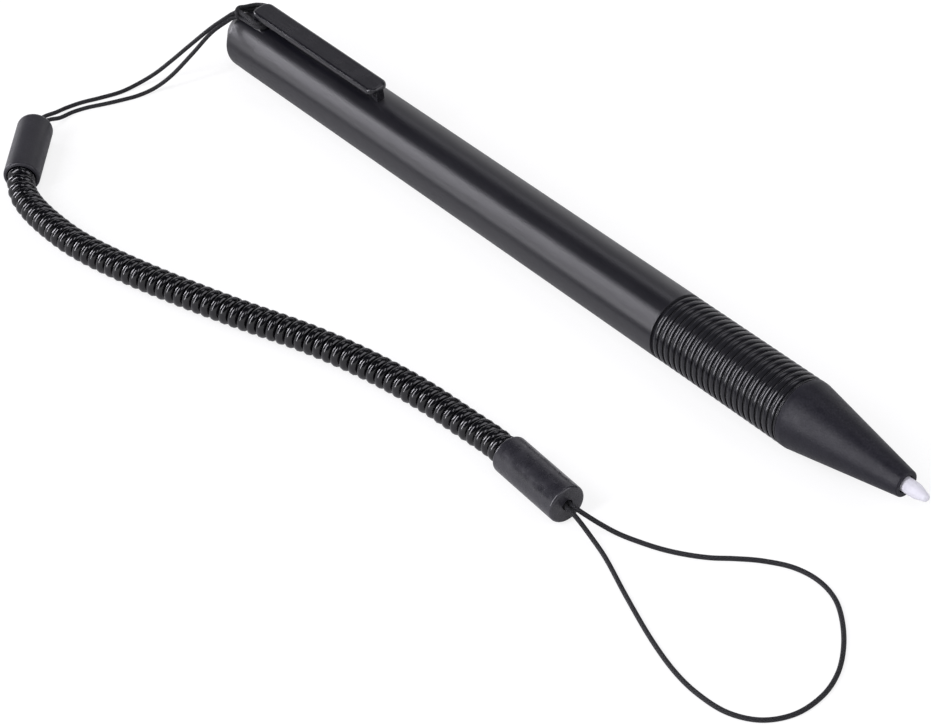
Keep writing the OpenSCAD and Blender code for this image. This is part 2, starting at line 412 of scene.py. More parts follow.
def colour_mix(tree: Tree, share: Socket, a: object, b: object) -> Socket:
    """Mixes two colours by a share and returns the mixed colour's socket."""
    return node(tree, "Mix", {0: share, 6: a, 7: b}, data_type="RGBA").outputs[2]


def number_mix(tree: Tree, share: Socket, a: object, b: object) -> Socket:
    """Mixes two numbers by a share and returns the mixed number's socket."""
    return node(tree, "Mix", {0: share, 2: a, 3: b}, data_type="FLOAT").outputs[0]


def spread(tree: Tree, value: Socket, low: object, high: object) -> Socket:
    """Maps a noise value, which lies mostly between 0.3 and 0.7, onto low to high."""
    return node(tree, "MapRange", {0: value, 1: 0.3, 2: 0.7, 3: low, 4: high}).outputs[0]


class Effect:
    """A shader node group with named inputs and outputs, which materials share."""

    def __init__(self, name: str, inputs: dict[str, str], outputs: dict[str, str]) -> None:
        """Makes the group's interface.

        Args:
            name: Name of the group.
            inputs: For each input's name, Float, Color or Vector.
            outputs: The same for the outputs.
        """
        self.tree: Tree = bpy.data.node_groups.new(name, "ShaderNodeTree")
        for in_out, sockets in (("INPUT", inputs), ("OUTPUT", outputs)):
            for label, kind in sockets.items():
                self.tree.interface.new_socket(label, in_out=in_out,
                                               socket_type="NodeSocket" + kind)
        self.given = self.tree.nodes.new("NodeGroupInput").outputs
        self.result = self.tree.nodes.new("NodeGroupOutput").inputs

    def put(self, label: str, value: Socket) -> None:
        """Links a value to one of the group's outputs."""
        self.tree.links.new(value, self.result[label])

    def use(self, tree: Tree, **values: object) -> dict[str, Socket]:
        """Places the group in a material.

        Args:
            tree: The material's node tree.
            **values: Sockets or values for its inputs, with _ for a space in a name.

        Returns:
            Its outputs by name.
        """
        named = {label.replace("_", " "): value for label, value in values.items()}
        placed = tree.nodes.new("ShaderNodeGroup")
        placed.node_tree = self.tree
        for label, value in named.items():
            if isinstance(value, Socket):
                tree.links.new(value, placed.inputs[label])
            else:
                placed.inputs[label].default_value = value
        return {out.name: out for out in placed.outputs}


def moulded_skin() -> Effect:
    """Fine spark-eroded grain of moulded plastic or rubber, with faint clouds in tone and gloss.

    Returns:
        The effect.
    """
    effect = Effect("moulded_skin",
                    {"Vector": "Vector", "Grain Scale": "Float", "Cloud Scale": "Float",
                     "Tone": "Color", "Pale Tone": "Color", "Gloss": "Float", "Dull": "Float"},
                    {"Colour": "Color", "Roughness": "Float", "Height": "Float", "Swell": "Float"})
    tree, given = effect.tree, effect.given
    grain = node(tree, "TexNoise", {"Vector": given["Vector"], "Scale": given["Grain Scale"],
                                    "Detail": 3.0, "Roughness": 0.6}).outputs[0]
    cloud = node(tree, "TexNoise", {"Vector": given["Vector"], "Scale": given["Cloud Scale"],
                                    "Detail": 4.0, "Roughness": 0.55}).outputs[0]
    fleck = calc(tree, "MULTIPLY", spread(tree, grain, 0.0, 1.0), spread(tree, cloud, 0.4, 1.0))
    effect.put("Colour", colour_mix(tree, fleck, given["Tone"], given["Pale Tone"]))
    effect.put("Roughness", spread(tree, cloud, given["Gloss"], given["Dull"]))
    effect.put("Height", grain)
    effect.put("Swell", cloud)
    return effect


def drawn_lines() -> Effect:
    """Fine lines drawn along X, as left by polishing a mould, broken up along their length.

    Returns:
        The effect.
    """
    effect = Effect("drawn_lines", {"Vector": "Vector", "Line Scale": "Float", "Stretch": "Float"},
                    {"Lines": "Float"})
    tree, given = effect.tree, effect.given
    parts = node(tree, "SeparateXYZ", {0: given["Vector"]}).outputs
    squeezed = node(tree, "CombineXYZ", {0: calc(tree, "DIVIDE", parts[0], given["Stretch"]),
                                         1: parts[1], 2: parts[2]}).outputs[0]
    lines = node(tree, "TexNoise", {"Vector": squeezed, "Scale": given["Line Scale"],
                                    "Detail": 2.0, "Roughness": 0.7}).outputs[0]
    effect.put("Lines", lines)
    return effect


def plaited_cord() -> Effect:
    """Over-and-under plait of a braided cord, on a UV map of millimetres along and turns round.

    Returns:
        The effect.
    """
    effect = Effect("plaited_cord",
                    {"Vector": "Vector", "Yarns": "Float", "Yarns per mm": "Float",
                     "Fibres": "Float"},
                    {"Height": "Float", "Fibre": "Float"})
    tree, given = effect.tree, effect.given
    parts = node(tree, "SeparateXYZ", {0: given["Vector"]}).outputs
    around = calc(tree, "MULTIPLY", parts[1], given["Yarns"])
    along = calc(tree, "MULTIPLY", parts[0], given["Yarns per mm"])
    left, right = calc(tree, "ADD", around, along), calc(tree, "SUBTRACT", around, along)
    crowns = [calc(tree, "SINE", calc(tree, "MULTIPLY", calc(tree, "FRACT", way), math.pi))
              for way in (left, right)]
    cell = calc(tree, "ADD", calc(tree, "FLOOR", left), calc(tree, "FLOOR", right))
    over = calc(tree, "FLOORED_MODULO", cell, 2.0)
    height = number_mix(tree, over, crowns[0], crowns[1])
    fibres = node(tree, "TexNoise", {"Vector": given["Vector"], "Scale": given["Fibres"],
                                     "Detail": 3.0}).outputs[0]
    effect.put("Height", height)
    effect.put("Fibre", fibres)
    return effect


class Effects:
    """The shared node groups, each built once."""

    def __init__(self) -> None:
        """Builds the groups."""
        self.skin = moulded_skin()
        self.lines = drawn_lines()
        self.plait = plaited_cord()


def new_material(name: str) -> tuple[bpy.types.Material, Tree, bpy.types.Node]:
    """Makes an empty material with a Principled shader.

    Args:
        name: Name of the material.

    Returns:
        The material, its node tree and the shader node.
    """
    material = bpy.data.materials.new(name)
    material.use_nodes = True
    tree = material.node_tree
    return material, tree, tree.nodes["Principled BSDF"]


def raised(tree: Tree, height: Socket, depth: float, normal: Socket | None = None) -> Socket:
    """Turns a height from 0 to 1 into a bumped normal.

    Args:
        tree: The node tree.
        height: The height.
        depth: How deep the height goes, in metres.
        normal: Normal that is already bumped, if any.

    Returns:
        The normal.
    """
    inputs = {"Height": height, "Distance": depth, "Strength": 1.0}
    if normal is not None:
        inputs["Normal"] = normal
    return node(tree, "Bump", inputs).outputs[0]


def rgba(colour: Colour) -> tuple[float, float, float, float]:
    """Adds an alpha of 1 to a colour."""
    return (*colour, 1.0)


@dataclass(frozen=True)
class MouldedFinish:
    """Moulded plastic or rubber.

    Attributes:
        name: Name of the material.
        tone: Its colour.
        pale_tone: Colour of its paler flecks.
        gloss: Roughness where it is glossiest.
        dull: Roughness where it is dullest.
        grain: Size of its grain in metres.
        depth: Depth of its grain in metres.
        cloud: Size of its faint clouds in metres.
        swell: Depth of the shallow dents that go with the clouds, in metres.
        lines: Depth of the lines drawn along it in metres, or 0 for none.
        line_width: Width of those lines in metres.
        line_stretch: How many times longer than wide they are.
        turned: How far polishing on a lathe spreads its gloss along X, from 0 to 1.
        specular: Specular level, where 0.5 is plain plastic.
        subsurface: Share of light that travels under the surface.
        subsurface_reach: How far it travels, in metres.
        metallic: 1 for bare metal and 0 for anything else.
    """

    name: str
    tone: Colour
    pale_tone: Colour
    gloss: float
    dull: float
    grain: float
    depth: float
    cloud: float = 8 * MM
    swell: float = 0.0
    lines: float = 0.0
    line_width: float = 0.25 * MM
    line_stretch: float = 40.0
    turned: float = 0.0
    specular: float = 0.5
    subsurface: float = 0.0
    subsurface_reach: float = 0.6 * MM
    metallic: float = 0.0

    def build(self, effects: Effects) -> bpy.types.Material:
        """Builds the material.

        Args:
            effects: The shared node groups.

        Returns:
            The material.
        """
        material, tree, shader = new_material(self.name)
        place = node(tree, "TexCoord").outputs["Object"]
        skin = effects.skin.use(tree, Vector=place, Grain_Scale=1 / self.grain,
                                Cloud_Scale=1 / self.cloud, Tone=rgba(self.tone),
                                Pale_Tone=rgba(self.pale_tone), Gloss=self.gloss, Dull=self.dull)
        tree.links.new(skin["Colour"], shader.inputs["Base Color"])
        tree.links.new(skin["Roughness"], shader.inputs["Roughness"])
        normal = raised(tree, skin["Height"], self.depth)
        if self.swell > 0:
            normal = raised(tree, skin["Swell"], self.swell, normal)
        if self.lines > 0:
            drawn = effects.lines.use(tree, Vector=place, Line_Scale=1 / self.line_width,
                                      Stretch=self.line_stretch)
            normal = raised(tree, drawn["Lines"], self.lines, normal)
        tree.links.new(normal, shader.inputs["Normal"])
        if self.turned > 0:
            axis = node(tree, "CombineXYZ", {0: 1.0})
            along = node(tree, "VectorTransform", {0: axis.outputs[0]}, vector_type="VECTOR",
                         convert_from="OBJECT", convert_to="WORLD")
            tree.links.new(along.outputs[0], shader.inputs["Tangent"])
            shader.inputs["Anisotropic"].default_value = self.turned
        shader.inputs["Specular IOR Level"].default_value = self.specular
        shader.inputs["Metallic"].default_value = self.metallic
        if self.subsurface > 0:
            shader.inputs["Subsurface Weight"].default_value = self.subsurface
            shader.inputs["Subsurface Radius"].default_value = (1.0, 1.0, 1.0)
            shader.inputs["Subsurface Scale"].default_value = self.subsurface_reach
        return material


@dataclass(frozen=True)
class BraidFinish:
    """Braided cord, with painted shade between its yarns and painted light on their crowns.

    Attributes:
        name: Name of the material.
        tone: Colour between the yarns, as painted shade.
        crown: Colour on top of the yarns, as painted light.
        yarns: Yarns round the cord.
        yarns_per_mm: Yarns along a millimetre of it.
        depth: Depth of the plait in metres.
        fibres: Scale of the fibres' noise along and round the cord.
        dimmest: How far the fibres dim the crowns, where 1 is not at all.
        gloss: Roughness where it is glossiest.
        dull: Roughness where it is dullest.
        specular: Specular level.
        sheen: Weight of the fuzz's sheen.
        sheen_spread: Roughness of that sheen.
    """

    name: str
    tone: Colour
    crown: Colour
    yarns: float
    yarns_per_mm: float
    depth: float
    fibres: float = 14.0
    dimmest: float = 0.5
    gloss: float = 0.45
    dull: float = 0.7
    specular: float = 0.3
    sheen: float = 0.04
    sheen_spread: float = 0.4

    def build(self, effects: Effects) -> bpy.types.Material:
        """Builds the material.

        Args:
            effects: The shared node groups.

        Returns:
            The material.
        """
        material, tree, shader = new_material(self.name)
        place = node(tree, "UVMap").outputs[0]
        plait = effects.plait.use(tree, Vector=place, Yarns=self.yarns,
                                  Yarns_per_mm=self.yarns_per_mm, Fibres=self.fibres)
        # Painted shade and light: the colour runs from tone in the hollows between the yarns to
        # crown on their tops, following the plait's height.
        shade = calc(tree, "MULTIPLY", plait["Height"],
                     spread(tree, plait["Fibre"], self.dimmest, 1.0))
        tree.links.new(colour_mix(tree, shade, rgba(self.tone), rgba(self.crown)),
                       shader.inputs["Base Color"])
        tree.links.new(spread(tree, plait["Fibre"], self.gloss, self.dull),
                       shader.inputs["Roughness"])
        tree.links.new(raised(tree, plait["Height"], self.depth), shader.inputs["Normal"])
        shader.inputs["Specular IOR Level"].default_value = self.specular
        shader.inputs["Sheen Weight"].default_value = self.sheen
        shader.inputs["Sheen Roughness"].default_value = self.sheen_spread
        return material


@dataclass(frozen=True)
class Wardrobe:
    """Every material of the pen and its tether."""

    barrel: bpy.types.Material
    clip: bpy.types.Material
    grip: bpy.types.Material
    nose: bpy.types.Material
    nib: bpy.types.Material
    core: bpy.types.Material
    cord: bpy.types.Material
    sleeve: bpy.types.Material
    smooth_sleeve: bpy.types.Material
    crimp: bpy.types.Material
    coil: bpy.types.Material

    @classmethod
    def built(cls, effects: Effects) -> "Wardrobe":
        """Builds all the materials.

        Args:
            effects: The shared node groups.

        Returns:
            The materials by name.
        """
        rubber = MouldedFinish(
            "sleeve_rubber", tone=(0.014, 0.0135, 0.0175), pale_tone=(0.027, 0.026, 0.033),
            gloss=0.2, dull=0.36, grain=0.18 * MM, depth=0.005 * MM, cloud=1.5 * MM,
            swell=0.08 * MM, specular=0.6)
        finishes = {
            "barrel": MouldedFinish(
                "barrel_plastic", tone=(0.006, 0.0058, 0.0085), pale_tone=(0.010, 0.0096, 0.0135),
                gloss=0.33, dull=0.38, grain=0.35 * MM, depth=0.0008 * MM,
                lines=0.0008 * MM, turned=0.9, specular=0.75),
            "clip": MouldedFinish(
                "clip_plastic", tone=(0.0035, 0.0033, 0.0055), pale_tone=(0.009, 0.0086, 0.0125),
                gloss=0.2, dull=0.3, grain=0.2 * MM, depth=0.003 * MM, cloud=3 * MM,
                lines=0.016 * MM, turned=0.6, specular=0.62),
            "grip": MouldedFinish(
                "grip_plastic", tone=(0.01, 0.01, 0.012), pale_tone=(0.015, 0.015, 0.018),
                gloss=0.16, dull=0.22, grain=0.4 * MM, depth=0.0008 * MM, specular=0.34),
            "nose": MouldedFinish(
                "nose_plastic", tone=(0.007, 0.0067, 0.0105), pale_tone=(0.021, 0.0203, 0.0275),
                gloss=0.38, dull=0.5, grain=0.22 * MM, depth=0.022 * MM, cloud=1.5 * MM,
                swell=0.02 * MM, specular=0.22),
            "nib": MouldedFinish(
                "nib_plastic", tone=(0.64, 0.632, 0.68), pale_tone=(0.68, 0.673, 0.72),
                gloss=0.35, dull=0.5, grain=0.3 * MM, depth=0.002 * MM, cloud=1.5 * MM,
                subsurface=0.35),
            "core": MouldedFinish(
                "core_plastic", tone=(0.03, 0.03, 0.033), pale_tone=(0.05, 0.05, 0.055),
                gloss=0.4, dull=0.5, grain=0.2 * MM, depth=0.004 * MM),
            # Painted shade between the cord's yarns (tone) and painted light on their crowns
            # (crown).
            "cord": BraidFinish(
                "cord_braid", tone=(0.002, 0.002, 0.0025), crown=(0.026, 0.026, 0.03),
                yarns=6.0, yarns_per_mm=2.2, depth=0.05 * MM),
            "sleeve": rubber,
            "smooth_sleeve": replace(
                rubber, name="smooth_sleeve_rubber", gloss=0.36, dull=0.5, swell=0.03 * MM,
                specular=0.42),
            "crimp": MouldedFinish(
                "crimp_metal", tone=(0.6, 0.6, 0.62), pale_tone=(0.7, 0.7, 0.72),
                gloss=0.3, dull=0.4, grain=0.15 * MM, depth=0.003 * MM, metallic=1.0),
            "coil": MouldedFinish(
                "coil_jacket", tone=(0.0012, 0.0012, 0.0022), pale_tone=(0.003, 0.003, 0.0045),
                gloss=0.15, dull=0.21, grain=0.3 * MM, depth=0.002 * MM, cloud=2 * MM,
                specular=0.56)}
        return cls(**{use: finish.build(effects) for use, finish in finishes.items()})


# ---------------------------------------------------------------- pen


@dataclass(frozen=True)
class PenLine:
    """Stations along the pen and its radius, all in metres.

    Attributes:
        rear: Rear end of the cap.
        barrel: Rear end of the barrel.
        grip: Where the grip starts.
        nose: Where the nose starts.
        rim: Front end of the nose.
        tip: Tip of the nib.
        radius: Radius of the barrel.
    """

    rear: float
    barrel: float
    grip: float
    nose: float
    rim: float
    tip: float
    radius: float

    @classmethod
    def from_frame(cls) -> "PenLine":
        """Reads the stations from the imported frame."""
        barrel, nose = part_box("barrel"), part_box("nose_cone")
        return cls(rear=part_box("rear_cap")[0].x, barrel=barrel[0].x, grip=barrel[1].x,
                   nose=nose[0].x, rim=nose[1].x, tip=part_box("nib")[1].x,
                   radius=(barrel[1].z - barrel[0].z) / 2)

    def place(self) -> Matrix:
        """Matrix from the lathe's axis to the pen's."""
        return Matrix.Translation((0.0, 0.0, self.radius))


@dataclass
class Barrel:
    """The plain barrel and the rear cap, with the root that carries the pocket clip.

    Attributes:
        line: Stations along the pen.
        wall: Thickness of the barrel's wall.
        seam: Rounding of the edges at a seam.
        end_r: Radius of the cap's flat end.
        end_round: Rounding between that end and the bevel.
        bevel: Length of the cap's bevel.
        taper: How much narrower the cap is at the bevel.
        shoulder: Rounding between bevel and cap.
        swell: Rounding where the cap reaches the barrel's radius.
        spigot: Length of the cap's spigot in the barrel.
        spigot_wall: Thickness of the spigot's wall.
        end_wall: Thickness of the cap's end.
        root_length: Length of the clip's root along the pen.
        root_sink: How deep the root reaches into the cap.
        root_rear_corner: Radius of the root's rear corners seen from above.
        root_front_corner: Radius of its front corners.
    """

    line: PenLine
    wall: float = 1.2 * MM
    seam: float = 0.03 * MM
    end_r: float = 1.85 * MM
    end_round: float = 1.7 * MM
    bevel: float = 3.35 * MM
    taper: float = 0.03 * MM
    shoulder: float = 0.8 * MM
    swell: float = 12 * MM
    spigot: float = 6 * MM
    spigot_wall: float = 1 * MM
    end_wall: float = 3 * MM
    root_length: float = 1.5 * MM
    root_sink: float = 1.2 * MM
    root_rear_corner: float = 0.84 * MM
    root_front_corner: float = 0.35 * MM

    def build(self, wardrobe: Wardrobe) -> None:
        """Builds both pieces and dresses them."""
        dress(self.tube(), Body.PEN, wardrobe.barrel, ["barrel"])
        dress(self.cap(), Body.PEN, wardrobe.barrel, ["rear_cap"])

    def tube(self) -> bpy.types.Object:
        """Turns the barrel, which is open at both ends."""
        line, bore = self.line, self.line.radius - self.wall
        return turned("barrel_tube", [
            Corner(line.barrel, line.radius, self.seam, 2),
            Corner(line.grip, line.radius, self.seam, 2),
            Corner(line.grip, bore), Corner(line.barrel, bore)], line.place())

    def cap(self) -> bpy.types.Object:
        """Turns the cap with its hollow spigot and joins the clip's root to it."""
        line, spigot_r = self.line, self.line.radius - self.wall
        hollow_r = spigot_r - self.spigot_wall
        spigot_end, hollow = line.barrel + self.spigot, line.rear + self.end_wall
        body = turned("cap_body", [
            Corner(line.rear, 0.0), Corner(line.rear, self.end_r, self.end_round, 12),
            Corner(line.rear + self.bevel, line.radius - self.taper, self.shoulder, 10),
            Corner(line.rear + 2 * self.bevel, line.radius, self.swell, 6),
            Corner(line.barrel, line.radius, self.seam, 2), Corner(line.barrel, spigot_r),
            Corner(spigot_end, spigot_r), Corner(spigot_end, hollow_r), Corner(hollow, hollow_r),
            Corner(hollow, 0.0)], line.place(), closed=False)
        return joined("rear_cap_body", body, self.root())

    def root(self) -> bpy.types.Object:
        """Makes the block between the cap and the clip, with its upright edges rounded."""
        clip_low, clip_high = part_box("pocket_clip")
        width = clip_high.y - clip_low.y
        bottom, top = self.line.radius * 2 - self.root_sink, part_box("rear_cap")[1].z
        bm = bmesh.new()
        bmesh.ops.create_cube(bm, size=1.0)
        bmesh.ops.scale(bm, vec=(self.root_length, width, top - bottom), verts=bm.verts[:])
        middle = clip_low.x + self.root_length / 2
        bmesh.ops.translate(bm, vec=(middle, 0.0, (top + bottom) / 2), verts=bm.verts[:])
        for rear, rounding in ((True, self.root_rear_corner), (False, self.root_front_corner)):
            edges = [edge for edge in bm.edges if upright(edge)
                     and (edge.verts[0].co.x < middle) == rear]
            bmesh.ops.bevel(bm, geom=edges, offset=rounding, offset_type="OFFSET", affect="EDGES",
                            segments=6, profile=0.5, material=-1)
        return finished("clip_root", bm)


def upright(edge: bmesh.types.BMEdge) -> bool:
    """True if an edge runs straight up."""
    run = edge.verts[0].co - edge.verts[1].co
    return math.hypot(run.x, run.y) < 1e-3 * abs(run.z)


@dataclass
class PocketClip:
    """The clip's flat arm with rounded corners and the narrow foot under its free end.

    Attributes:
        root_thickness: Thickness of the arm at its root.
        tip_thickness: Thickness of the arm at its free end.
        corner: Radius of its corners seen from above.
        top_edge: Rounding of its upper edges.
        lower_edge: Rounding of its lower edges.
        foot_width: Width of the foot.
        foot_length: Length of the foot along the pen.
        foot_root: How deep the foot reaches into the arm.
        foot_lead: How much further its slope starts inside the arm.
        foot_heel: Distance from the arm's end to where the slope ends.
        foot_heel_round: Rounding at the end of the slope.
        foot_toe: Distance from the arm's end to the foot's front edge.
        foot_toe_round: Rounding of that edge.
        foot_draft: Distance from the arm's end to the foot's front inside the arm.
    """

    root_thickness: float = 0.88 * MM
    tip_thickness: float = 0.75 * MM
    corner: float = 1.15 * MM
    top_edge: float = 0.42 * MM
    lower_edge: float = 0.12 * MM
    foot_width: float = 1.15 * MM
    foot_length: float = 3.0 * MM
    foot_root: float = 0.3 * MM
    foot_lead: float = 0.4 * MM
    foot_heel: float = 0.75 * MM
    foot_heel_round: float = 0.5 * MM
    foot_toe: float = 0.1 * MM
    foot_toe_round: float = 0.12 * MM
    foot_draft: float = 0.04 * MM

    def build(self, wardrobe: Wardrobe) -> None:
        """Builds the clip and dresses it."""
        clip = joined("clip_arm_and_foot", self.arm(), self.foot())
        dress(clip, Body.CLIP, wardrobe.clip, ["pocket_clip"])

    def ends(self) -> tuple[Vector, Vector, float]:
        """Lowest and highest corner of the arm alone, and the bottom of the foot."""
        low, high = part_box("pocket_clip")
        under = high.z - self.root_thickness
        return Vector((low.x, low.y, under)), Vector(high), low.z

    def arm(self) -> bpy.types.Object:
        """Makes the arm, which thins towards its free end."""
        low, high, _ = self.ends()
        bm = bmesh.new()
        bmesh.ops.create_cube(bm, size=1.0)
        bmesh.ops.scale(bm, vec=high - low, verts=bm.verts[:])
        bmesh.ops.translate(bm, vec=(low + high) / 2, verts=bm.verts[:])
        tip = [vert for vert in bm.verts
               if vert.co.x > (low.x + high.x) / 2 and vert.co.z > (low.z + high.z) / 2]
        bmesh.ops.translate(bm, vec=(0.0, 0.0, self.tip_thickness - self.root_thickness), verts=tip)
        bmesh.ops.bevel(bm, geom=[edge for edge in bm.edges if upright(edge)], offset=self.corner,
                        offset_type="OFFSET", affect="EDGES", segments=10, profile=0.5, material=-1)
        bm.normal_update()
        for side, rounding in ((1, self.top_edge), (-1, self.lower_edge)):
            face = max(bm.faces, key=lambda f: side * f.normal.z * f.calc_area())
            bmesh.ops.bevel(bm, geom=face.edges[:], offset=rounding, offset_type="OFFSET",
                            affect="EDGES", segments=5, profile=0.5, material=-1)
            bm.normal_update()
        return finished("clip_arm", bm)

    def foot(self) -> bpy.types.Object:
        """Makes the foot: a narrow wedge that reaches down nearly to the barrel."""
        low, high, bottom = self.ends()
        top = low.z + self.foot_root
        corners = [Corner(high.x - self.foot_length - self.foot_lead, top),
                   Corner(high.x - self.foot_heel, bottom, self.foot_heel_round, 8),
                   Corner(high.x - self.foot_toe, bottom, self.foot_toe_round, 3),
                   Corner(high.x - self.foot_draft, top)]
        bm = bmesh.new()
        verts = [bm.verts.new((c.x, -self.foot_width / 2, c.r)) for c in corners]
        for a, b in zip(verts, verts[1:] + verts[:1]):
            bm.edges.new((a, b))
        round_wire(bm, verts, corners)
        side = bmesh.ops.contextual_create(bm, geom=bm.edges[:])["faces"]
        grown = bmesh.ops.extrude_face_region(bm, geom=side)["geom"]
        bmesh.ops.translate(bm, vec=(0.0, self.foot_width, 0.0),
                            verts=[part for part in grown if isinstance(part, bmesh.types.BMVert)])
        return finished("clip_foot", bm)


@dataclass
class Grip:
    """The ribbed grip.

    Attributes:
        line: Stations along the pen.
        ribs: Number of ribs.
        depth: Depth of the grooves.
        groove: Width of the grooves.
        first_groove: Width of the groove next to the barrel.
        end_land: Width of the land at the front end.
        crown: Radius of the ribs' crowns seen from the side.
        crown_share: Share of a rib's width that the crown takes, before the edges' roundings.
        edge_round: Rounding of the ribs' edges.
        root_round: Rounding at the bottom of the grooves.
        land_round: Rounding of the front land's rear edge.
        front_round: Rounding of its front edge.
        wall: Thickness of the grip's wall.
    """

    line: PenLine
    ribs: int = 21
    depth: float = 0.32 * MM
    groove: float = 0.36 * MM
    first_groove: float = 0.49 * MM
    end_land: float = 0.25 * MM
    crown: float = 0.8 * MM
    crown_share: float = 0.92
    edge_round: float = 0.09 * MM
    root_round: float = 0.14 * MM
    land_round: float = 0.1 * MM
    front_round: float = 0.08 * MM
    wall: float = 1.2 * MM

    def build(self, wardrobe: Wardrobe) -> None:
        """Builds the grip and dresses it."""
        line, bore = self.line, self.line.radius - self.wall
        pitch = (line.nose - line.grip - self.first_groove - self.end_land) / self.ribs
        root = line.radius - self.depth
        corners = [Corner(line.grip, bore), Corner(line.grip, root)]
        half = (pitch - self.groove) / 2
        slope = math.asin(self.crown_share * half / self.crown)
        peak = line.radius + self.crown * (1 / math.cos(slope) - 1)
        edge = peak - half * math.tan(slope)
        for rib in range(self.ribs):
            middle = line.grip + self.first_groove + half + rib * pitch
            corners += [Corner(middle - half, root, self.root_round),
                        Corner(middle - half, edge, self.edge_round),
                        Corner(middle, peak, self.crown, 12),
                        Corner(middle + half, edge, self.edge_round),
                        Corner(middle + half, root, self.root_round)]
        land = line.nose - self.end_land
        corners += [Corner(land, root), Corner(land, line.radius, self.land_round),
                    Corner(line.nose, line.radius, self.front_round, 3), Corner(line.nose, bore)]
        grip = turned("ribbed_grip", corners, line.place(), steps=112)
        dress(grip, Body.PEN, wardrobe.grip, ["grip_sleeve"])


@dataclass
class Nose:
    """The nose cone, the nib and the hidden pieces that hold them.

    Attributes:
        line: Stations along the pen.
        band: Length of the straight band where the nose meets the grip.
        band_round: Rounding between that band and the cone.
        rear_round: Rounding of the nose's rear edge.
        rim_round: Rounding of its front edge.
        hole_round: Rounding of the hole's edge.
        end_r: Radius of the nose at its front end.
        hole_r: Radius of the hole round the nib.
        hole_depth: Depth of that hole.
        socket_r: Radius of the socket for the core tube.
        socket_depth: Depth of that socket.
        holder_r: Radius of the bore for the nib's holder.
        flange_r: Radius of the seat for the holder's flange.
        flange_depth: Depth of that seat past the socket.
        nib_r: Radius of the nib.
        nib_gap: Room between the nib's shoulder and the bottom of the hole.
        tip_length: Length over which the nib rounds off to its tip.
        tip_round: Rounding where that starts.
        point_length: Length of the blunt point, over which the radius falls from half.
        point_round: Rounding of the blunt point's edge.
        stem_r: Radius of the nib's stem.
        stem_round: Rounding of the stem's end.
        shoulder_round: Rounding of the nib's shoulder.
    """

    line: PenLine
    band: float = 0.7 * MM
    band_round: float = 1.8 * MM
    rear_round: float = 0.12 * MM
    rim_round: float = 0.14 * MM
    hole_round: float = 0.1 * MM
    end_r: float = 1.7 * MM
    hole_r: float = 1.1 * MM
    hole_depth: float = 2.5 * MM
    socket_r: float = 3.0 * MM
    socket_depth: float = 5.0 * MM
    holder_r: float = 1.55 * MM
    flange_r: float = 1.9 * MM
    flange_depth: float = 1.4 * MM
    nib_r: float = 0.95 * MM
    nib_gap: float = 0.05 * MM
    tip_length: float = 2.0 * MM
    tip_round: float = 2.0 * MM
    point_length: float = 0.35 * MM
    point_round: float = 0.4 * MM
    stem_r: float = 0.8 * MM
    stem_round: float = 0.1 * MM
    shoulder_round: float = 0.05 * MM

    def build(self, wardrobe: Wardrobe) -> None:
        """Builds the cone and the nib, and dresses them and the hidden CAD pieces."""
        dress(self.cone(), Body.NOSE, wardrobe.nose, ["nose_cone"])
        dress(self.nib(), Body.NIB, wardrobe.nib, ["nib"])
        redress("core_tube", wardrobe.core)
        redress("nib_holder", wardrobe.core)

    def cone(self) -> bpy.types.Object:
        """Turns the nose with its socket, seats and hole."""
        line = self.line
        hole = line.rim - self.hole_depth
        socket = line.nose + self.socket_depth
        flange = socket + self.flange_depth
        return turned("nose_shell", [
            Corner(line.nose, line.radius, self.rear_round),
            Corner(line.nose + self.band, line.radius, self.band_round, 6),
            Corner(line.rim, self.end_r, self.rim_round),
            Corner(line.rim, self.hole_r, self.hole_round, 3),
            Corner(hole, self.hole_r), Corner(hole, self.holder_r), Corner(flange, self.holder_r),
            Corner(flange, self.flange_r), Corner(socket, self.flange_r),
            Corner(socket, self.socket_r), Corner(line.nose, self.socket_r)], line.place())

    def nib(self) -> bpy.types.Object:
        """Turns the nib with its stem."""
        line, stem = self.line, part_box("nib")[0].x
        shoulder = line.rim - self.hole_depth + self.nib_gap
        return turned("nib_tip", [
            Corner(stem, 0.0), Corner(stem, self.stem_r, self.stem_round, 3),
            Corner(shoulder, self.stem_r), Corner(shoulder, self.nib_r, self.shoulder_round, 2),
            Corner(line.tip - self.tip_length, self.nib_r, self.tip_round, 12),
            Corner(line.tip - self.point_length, self.nib_r / 2, self.point_round, 8),
            Corner(line.tip, 0.0)], line.place(), closed=False, steps=64)


def redress(name: str, material: bpy.types.Material) -> bpy.types.Object:
    """Gives a CAD node that stays its material.

    Args:
        name: Name of the node.
        material: Its material.

    Returns:
        The node's object.
    """
    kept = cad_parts[name]
    kept.data.materials.clear()
    kept.data.materials.append(material)
    log.info("%s: CAD node in %s", name, material.name)
    return kept


# ---------------------------------------------------------------- tether


@dataclass(frozen=True)
class SleevePlace:
    """Where a sleeve lies: the middle of its cord end, and its heading towards the coil.

    Attributes:
        name: Name of the piece.
        stands_for: CAD node that it replaces.
        at: Middle of the cord end in millimetres.
        heading: Heading in degrees, turned from +X towards +Y.
        rounding: Rounding of its edge at the cord end, in metres.
    """

    name: str
    stands_for: str
    at: Point
    heading: float
    rounding: float

    def matrix(self) -> Matrix:
        """Matrix from the lathe's axis to the sleeve's."""
        turn = Matrix.Rotation(math.radians(self.heading), 4, "Z")
        return Matrix.Translation(Vector(self.at) * MM) @ turn


